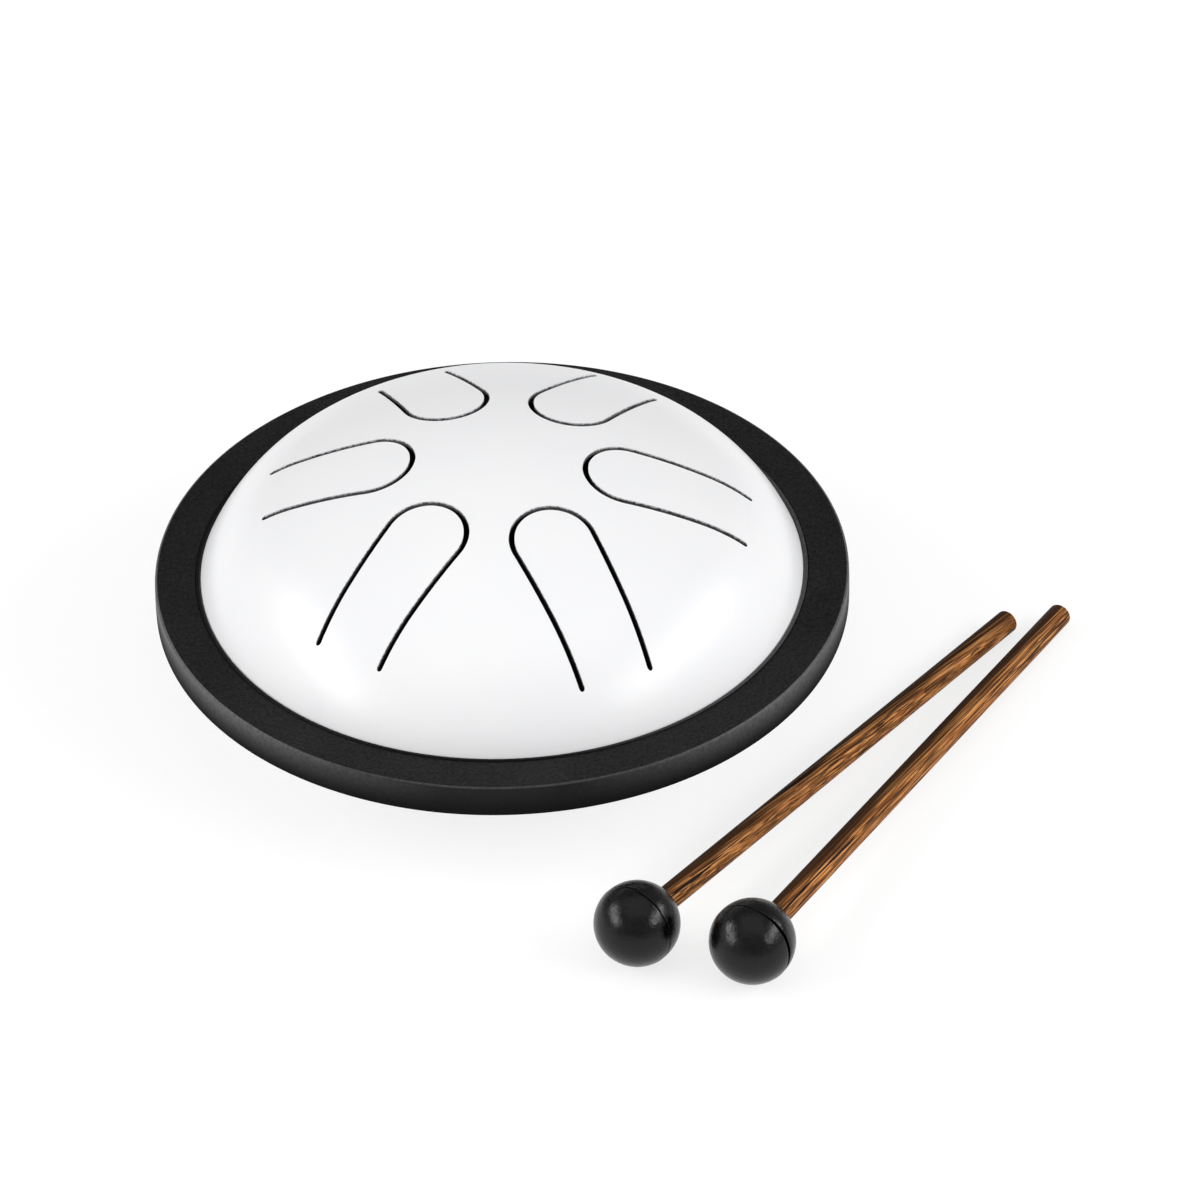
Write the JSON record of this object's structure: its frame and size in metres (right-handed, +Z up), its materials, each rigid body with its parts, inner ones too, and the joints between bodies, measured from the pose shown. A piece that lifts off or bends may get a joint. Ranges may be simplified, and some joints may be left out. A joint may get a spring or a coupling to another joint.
{
  "type": "steel tongue drum",
  "caption": "Small steel tongue drum: enamelled dome with U-shaped tongues over a shallow bowl, rubber ring round the rim, with a pair of rubber-headed wooden mallets.",
  "frame": {"origin": "on the drum's axis, at the middle of the rubber ring's height, which is the seam between the two shells", "axes": "+Z up along the drum's axis, out of the dome; -Y towards the picture's camera, with +X to its right"},
  "size_m": [0.2383, 0.2267, 0.0689],
  "materials": {
    "white_enamel": "gloss white enamel on steel sheet",
    "ring_rubber": "fine-grained matt black rubber",
    "foot_rubber": "matt black rubber",
    "mallet_rubber": "semi-gloss moulded black rubber",
    "hardwood": "oiled dark brown streaky hardwood"
  },
  "bodies": {
    "drum": {"top_shell": "white_enamel", "bottom_shell": "white_enamel", "rim_ring": "ring_rubber", "foot_1": "foot_rubber", "foot_2": "foot_rubber", "foot_3": "foot_rubber"},
    "tongue_1": {"tongue_1": "white_enamel"},
    "tongue_2": {"tongue_2": "white_enamel"},
    "tongue_3": {"tongue_3": "white_enamel"},
    "tongue_4": {"tongue_4": "white_enamel"},
    "tongue_5": {"tongue_5": "white_enamel"},
    "tongue_6": {"tongue_6": "white_enamel"},
    "left_mallet": {"left_mallet_stick": "hardwood", "left_mallet_head": "mallet_rubber"},
    "right_mallet": {"right_mallet_stick": "hardwood", "right_mallet_head": "mallet_rubber"}
  },
  "joints": [
    {"name": "tongue_1_flex", "type": "hinge", "parent": "drum", "child": "tongue_1", "pos_m": [0.02883, -0.06269, 0.0177], "axis": [-0.9085, -0.4179, 0], "range_deg": [-0.2, 0.2], "stiffness_Nm_per_rad": 29.6},
    {"name": "tongue_2_flex", "type": "hinge", "parent": "drum", "child": "tongue_2", "pos_m": [0.06345, -0.00589, 0.02268], "axis": [-0.0924, -0.9957, 0], "range_deg": [-0.2, 0.2], "stiffness_Nm_per_rad": 34.2},
    {"name": "tongue_3_flex", "type": "hinge", "parent": "drum", "child": "tongue_3", "pos_m": [0.03277, 0.04629, 0.02733], "axis": [0.8161, -0.5779, 0], "range_deg": [-0.2, 0.2], "stiffness_Nm_per_rad": 41.9},
    {"name": "tongue_4_flex", "type": "hinge", "parent": "drum", "child": "tongue_4", "pos_m": [-0.02239, 0.04869, 0.02887], "axis": [0.9085, 0.4179, 0], "range_deg": [-0.2, 0.2], "stiffness_Nm_per_rad": 46.3},
    {"name": "tongue_5_flex", "type": "hinge", "parent": "drum", "child": "tongue_5", "pos_m": [-0.05973, 0.00554, 0.02539], "axis": [0.0924, 0.9957, 0], "range_deg": [-0.2, 0.2], "stiffness_Nm_per_rad": 38},
    {"name": "tongue_6_flex", "type": "hinge", "parent": "drum", "child": "tongue_6", "pos_m": [-0.03855, -0.05445, 0.02006], "axis": [-0.8161, 0.5779, 0], "range_deg": [-0.2, 0.2], "stiffness_Nm_per_rad": 31.5},
    {"name": "left_mallet_lift", "type": "slide", "parent": "drum", "child": "left_mallet", "axis": [0, 0, 1], "range_m": [0, 0.12]},
    {"name": "right_mallet_lift", "type": "slide", "parent": "drum", "child": "right_mallet", "axis": [0, 0, 1], "range_m": [0, 0.12]}
  ]
}
